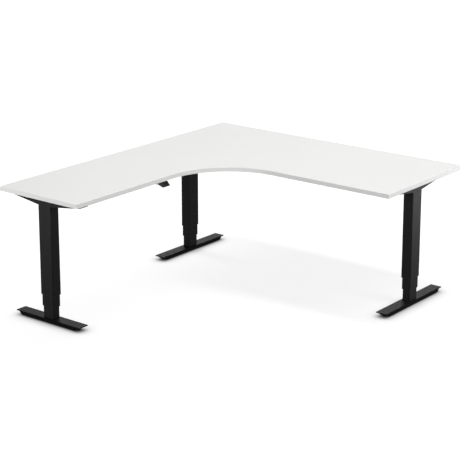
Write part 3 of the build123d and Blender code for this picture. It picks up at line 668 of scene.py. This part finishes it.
def make_motor(leg):
    """Motor: flanged nose, rolled can with two beads, and a ribbed end cap with four screws."""
    low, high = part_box(f"{leg.name}_motor")
    half = (high.z - low.z) / 2
    level = (low.z + high.z) / 2
    start = min(abs((corner - leg.centre).dot(leg.out)) for corner in (low, high))
    end = max(abs((corner - leg.centre).dot(leg.out)) for corner in (low, high))
    cap = end - 20 * MM
    can = half
    count = 2 * RING
    nose = 14.0 * MM
    flange = start + 3.0 * MM
    rings = [
        circle(nose, start, count),
        circle(nose, flange, count),
        circle(can - 1.0 * MM, flange + 0.2 * MM, count),
        circle(can, flange + 1.2 * MM, count),
        circle(can, flange + 9 * MM, count),
        circle(can - 1.2 * MM, flange + 10 * MM, count),
        circle(can - 1.2 * MM, flange + 12 * MM, count),
        circle(can - 0.2 * MM, flange + 13 * MM, count),
        circle(can - 0.2 * MM, cap - 16 * MM, count),
        circle(can - 1.2 * MM, cap - 15 * MM, count),
        circle(can - 1.2 * MM, cap - 13 * MM, count),
        circle(can - 0.2 * MM, cap - 12 * MM, count),
        circle(can - 0.2 * MM, cap - 1.5 * MM, count),
        circle(can - 1.6 * MM, cap - 0.6 * MM, count),
        circle(can - 1.6 * MM, cap, count),
    ]
    axis = leg.place(0, 0, level, leg.out)
    bm = bmesh.new()
    loft(bm, rings, axis)
    rings = [
        rounded_square(half - 0.8 * MM, 4.6 * MM, cap, count),
        rounded_square(half, 5.0 * MM, cap + 0.8 * MM, count),
        rounded_square(half, 5.0 * MM, cap + 5.0 * MM, count),
        rounded_square(half - 0.7 * MM, 4.6 * MM, cap + 5.4 * MM, count),
        rounded_square(half - 0.7 * MM, 4.6 * MM, cap + 6.6 * MM, count),
        rounded_square(half, 5.0 * MM, cap + 7.0 * MM, count),
        rounded_square(half, 5.0 * MM, end - 1.6 * MM, count),
        rounded_square(half - 1.6 * MM, 4.0 * MM, end, count),
        rounded_square(half - 5.0 * MM, 3.0 * MM, end, count),
        rounded_square(half - 6.0 * MM, 3.0 * MM, end - 1.2 * MM, count),
    ]
    loft(bm, rings, axis)
    add_piece(f"{leg.name}_motor_detailed", bm, "desk_top", "motor_black", [f"{leg.name}_motor"])
    bm = bmesh.new()
    screw_in = half - 5.6 * MM
    for x in (-1, 1):
        for y in (-1, 1):
            corner = Matrix.Translation((x * screw_in, y * screw_in, end + 0.4 * MM))
            head = [
                cross(1.0 * MM, 0.35 * MM, -1.0 * MM),
                cross(1.3 * MM, 0.4 * MM, 0),
                circle(2.2 * MM, 0),
                circle(2.6 * MM, -0.5 * MM),
                circle(2.6 * MM, -2.0 * MM),
            ]
            loft(bm, head, axis @ corner)
    add_piece(f"{leg.name}_motor_screws", bm, "desk_top", "screw_zinc")


# ---------------------------------------------------------------- spindles

THREAD_SPACING = 3.0 * MM       # between crests; four starts lift 12 mm in a turn
THREAD_STARTS = 4
THREAD_DEPTH = 0.9 * MM


def spindle_thread(radius, bottom, top):
    return thread_rings(radius, THREAD_DEPTH, THREAD_SPACING, bottom, top, THREAD_STARTS)


def make_drive_spindle(leg):
    """Hollow spindle hung from the gearbox, threaded below its smooth journal."""
    low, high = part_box(f"{leg.name}_drive_spindle")
    journal = high.z - 60 * MM
    bore = 378.0 * MM
    bore_radius = 4.7 * MM
    radius = 8.0 * MM
    rings = [
        circle(bore_radius, low.z + bore),
        circle(bore_radius, low.z),
        circle(radius - 1.0 * MM, low.z),
        *spindle_thread(radius, low.z + 1.0 * MM, journal),
        circle(radius - 1.0 * MM, journal + 0.5 * MM),
        circle(radius, journal + 0.6 * MM),
        circle(radius, high.z - 0.8 * MM),
        circle(radius - 0.8 * MM, high.z),
    ]
    bm = bmesh.new()
    loft(bm, rings, leg.place(0, 0, 0))
    add_piece(f"{leg.name}_drive_spindle_threaded", bm, f"{leg.name}_drive", "spindle_steel",
              [f"{leg.name}_drive_spindle"])


def make_lower_spindle(leg):
    """Wide hollow spindle under its journal, with the hexagon rod that turns it."""
    low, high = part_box(f"{leg.name}_lower_spindle")
    carrier_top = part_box(f"{leg.name}_upper_nut")[1].z
    shoulder = carrier_top - 22.3 * MM
    journal = shoulder + 11.0 * MM
    plug = low.z + 10.0 * MM
    bore_radius = 9.0 * MM
    journal_radius = 11.0 * MM
    radius = 14.0 * MM
    flats = 8.0 * MM
    ease = 0.6 * MM
    smooth = shoulder - 6.0 * MM
    rings = [
        circle(bore_radius, plug),
        circle(bore_radius, journal - ease),
        circle(bore_radius + ease, journal),
        circle(journal_radius - ease, journal),
        circle(journal_radius, journal - ease),
        circle(journal_radius, shoulder),
        circle(radius - ease, shoulder),
        circle(radius, shoulder - ease),
        circle(radius, smooth),
        *reversed(spindle_thread(radius, low.z + 1.0 * MM, smooth - ease)),
        circle(radius - 1.2 * MM, low.z),
    ]
    bm = bmesh.new()
    loft(bm, rings, leg.place(0, 0, 0))
    rod = [hexagon(flats, plug), hexagon(flats, high.z - ease), hexagon(flats - 0.8 * MM, high.z)]
    loft(bm, rod, leg.place(0, 0, 0))
    add_piece(f"{leg.name}_lower_spindle_threaded", bm, f"{leg.name}_lower", "spindle_steel",
              [f"{leg.name}_lower_spindle"])


# ---------------------------------------------------------------- control box, leads and handset

EAR_OUT = 14.0 * MM       # length of the mounting ears past a housing


def rib_rings(half_x, half_y, high, sink):
    """Long low rib that stands down from z = 0, its edges eased over its lower half."""
    round_end = half_x - 0.1 * MM
    return [
        rounded_rect(half_x, half_y, round_end, sink),
        rounded_rect(half_x, half_y, round_end, 0),
        rounded_rect(half_x - 0.2 * MM, half_y - 0.2 * MM, round_end - 0.2 * MM, -0.7 * high),
        rounded_rect(half_x - 0.8 * MM, half_y - 0.8 * MM, round_end - 0.8 * MM, -high),
    ]


def inlet_frame_rings():
    """Frame of the mains inlet and the well inside it, seen along its own Z."""
    half_x = 15.5 * MM
    half_y = 12.0 * MM
    well_x = 12.9 * MM
    well_y = 9.4 * MM
    face = 1.2 * MM
    ease = 0.3 * MM
    return [
        rounded_rect(half_x, half_y, 2.5 * MM, -0.5 * MM),
        rounded_rect(half_x, half_y, 2.5 * MM, face - ease),
        rounded_rect(half_x - ease, half_y - ease, 2.4 * MM, face),
        rounded_rect(well_x + ease, well_y + ease, 1.6 * MM, face),
        rounded_rect(well_x, well_y, 1.5 * MM, face - ease),
        rounded_rect(well_x, well_y, 1.5 * MM, -13.0 * MM),
    ]


def make_control_box():
    """Ventilation ribs, assembly screws and the mains inlet's frame and pins."""
    low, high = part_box("control_box")
    middle = (low + high) / 2
    bm = bmesh.new()
    for i in range(10):
        place = Matrix.Translation((middle.x + (4 + 8 * i) * MM, middle.y, low.z))
        loft(bm, rib_rings(1.7 * MM, 30.0 * MM, 1.0 * MM, 0.5 * MM), place)
    inlet = aim(Vector((low.x + 54.0 * MM, high.y, middle.z)), Vector((0, 1, 0)))
    loft(bm, inlet_frame_rings(), inlet, (False, True))
    add_piece("control_box_trim", bm, "desk_top", "box_plastic")

    bm = bmesh.new()
    pin = [
        rounded_rect(1.0 * MM, 2.0 * MM, 0.3 * MM, -13.5 * MM),
        rounded_rect(1.0 * MM, 2.0 * MM, 0.3 * MM, -3.0 * MM),
        rounded_rect(0.5 * MM, 1.5 * MM, 0.2 * MM, -2.0 * MM),
    ]
    for x, y in ((-7.0, 1.5), (0, -2.0), (7.0, 1.5)):
        loft(bm, pin, inlet @ Matrix.Translation((x * MM, y * MM, 0)))
    screw_in = 9.0 * MM
    for x in (low.x + EAR_OUT + screw_in, high.x - EAR_OUT - screw_in):
        for y in (low.y + screw_in, high.y - screw_in):
            loft(bm, pan_head_rings(3.2 * MM, 1.8 * MM), Matrix.Translation((x, y, low.z - 1.4 * MM)))
    add_piece("control_box_metal", bm, "desk_top", "screw_zinc")


def add_boot(bm, place):
    """Ribbed strain relief round a lead, its wide end at the place's origin."""
    crest = 3.9 * MM
    groove = 3.35 * MM
    rings = [circle(crest, -0.5 * MM)]
    for rib in range(5):
        z = 2.8 * rib * MM
        rings.append(circle(crest, z + 1.4 * MM))
        rings.append(circle(groove, z + 1.7 * MM))
        rings.append(circle(groove, z + 2.4 * MM))
        rings.append(circle(crest, z + 2.8 * MM))
    rings.append(circle(3.1 * MM, 15.5 * MM))
    loft(bm, rings, place)


def make_boots():
    """Strain reliefs where the leads leave the control box, the motors and the handset."""
    bm = bmesh.new()
    box_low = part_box("control_box")[0]
    for low, high in solid_boxes("motor_leads") + solid_boxes("handset_lead"):
        radius = (high.z - low.z) / 2
        rightward = low.x > box_low.x
        start = Vector((low.x if rightward else high.x, high.y - radius, high.z - radius))
        add_boot(bm, aim(start, Vector((1 if rightward else -1, 0, 0))))
        level = start.z
    for leg in LEGS:
        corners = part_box(f"{leg.name}_motor")
        end = max(abs((corner - leg.centre).dot(leg.out)) for corner in corners)
        add_boot(bm, leg.place(0, end, level, leg.out))
    low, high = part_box("handset_housing")
    add_boot(bm, aim(Vector((low.x + EAR_OUT, (low.y + high.y) / 2, level)), Vector((-1, 0, 0))))
    add_piece("strain_reliefs", bm, "desk_top", "lead_pvc")


def make_paddle_grip():
    """Grip ridges under the paddle's nose."""
    low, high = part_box("handset_paddle")
    bm = bmesh.new()
    for i in range(4):
        place = Matrix.Translation((high.x - (6.5 + 2.0 * i) * MM, (low.y + high.y) / 2, low.z))
        rings = [
            rounded_rect(0.5 * MM, 18.0 * MM, 0.45 * MM, 0.4 * MM),
            rounded_rect(0.5 * MM, 18.0 * MM, 0.45 * MM, -0.3 * MM),
            rounded_rect(0.3 * MM, 17.8 * MM, 0.25 * MM, -0.5 * MM),
        ]
        loft(bm, rings, place)
    add_piece("paddle_grip", bm, "paddle", "paddle_plastic")


# ---------------------------------------------------------------- the making

make_camera()
make_world(WORLD_STRENGTH)
floor = make_studio()
# Each softbox: its place, where it points, width and height in metres, power in watts, and what it
# leaves out. The floor's own softbox lights the floor alone.
floor_and_feet = [floor, *(NODES[f"{name}_foot"] for name in LEG_NAMES)]
make_softbox("floor_key", (-0.2, 0.7, 4.5), (-0.2, 0.7, 0), 9.0, 0.9, 360, [floor], "INCLUDE")
make_softbox("overhead_right", (3.0, 0.6, 7.5), (0.3, 0.1, 0.7), 5.0, 5.0, 226, [floor])
make_softbox("overhead_left", (0.4, 0.0, 7.5), (0.3, 0.1, 0.7), 5.0, 5.0, 134, [floor])
make_softbox("front", (-0.8, -9.0, 2.6), (-0.2, -0.9, 0.4), 3.4, 2.2, 345, floor_and_feet)
make_softbox("right", (14.0, -1.2, 4.2), (0.3, 0.0, 0.5), 5.0, 3.5, 690, floor_and_feet)
make_softbox("back", (-6.0, 9.0, 3.6), (0, 0, 0.2), 9.0, 2.0, 210, [floor])
make_softbox("near_left", (-2.2, -2.5, 0.35), (-0.6, -0.9, 0.35), 0.9, 0.7, 9.5, floor_and_feet)
make_softbox("near_right", (2.0, 2.4, 0.35), (0.82, 0.6, 0.35), 0.9, 0.7, 17, floor_and_feet)
dress_nodes()
make_wood_screws()
for leg in LEGS:
    make_foot_bolts(leg)
    make_levellers(leg)
    make_motor(leg)
    make_drive_spindle(leg)
    make_lower_spindle(leg)
make_control_box()
make_boots()
make_paddle_grip()
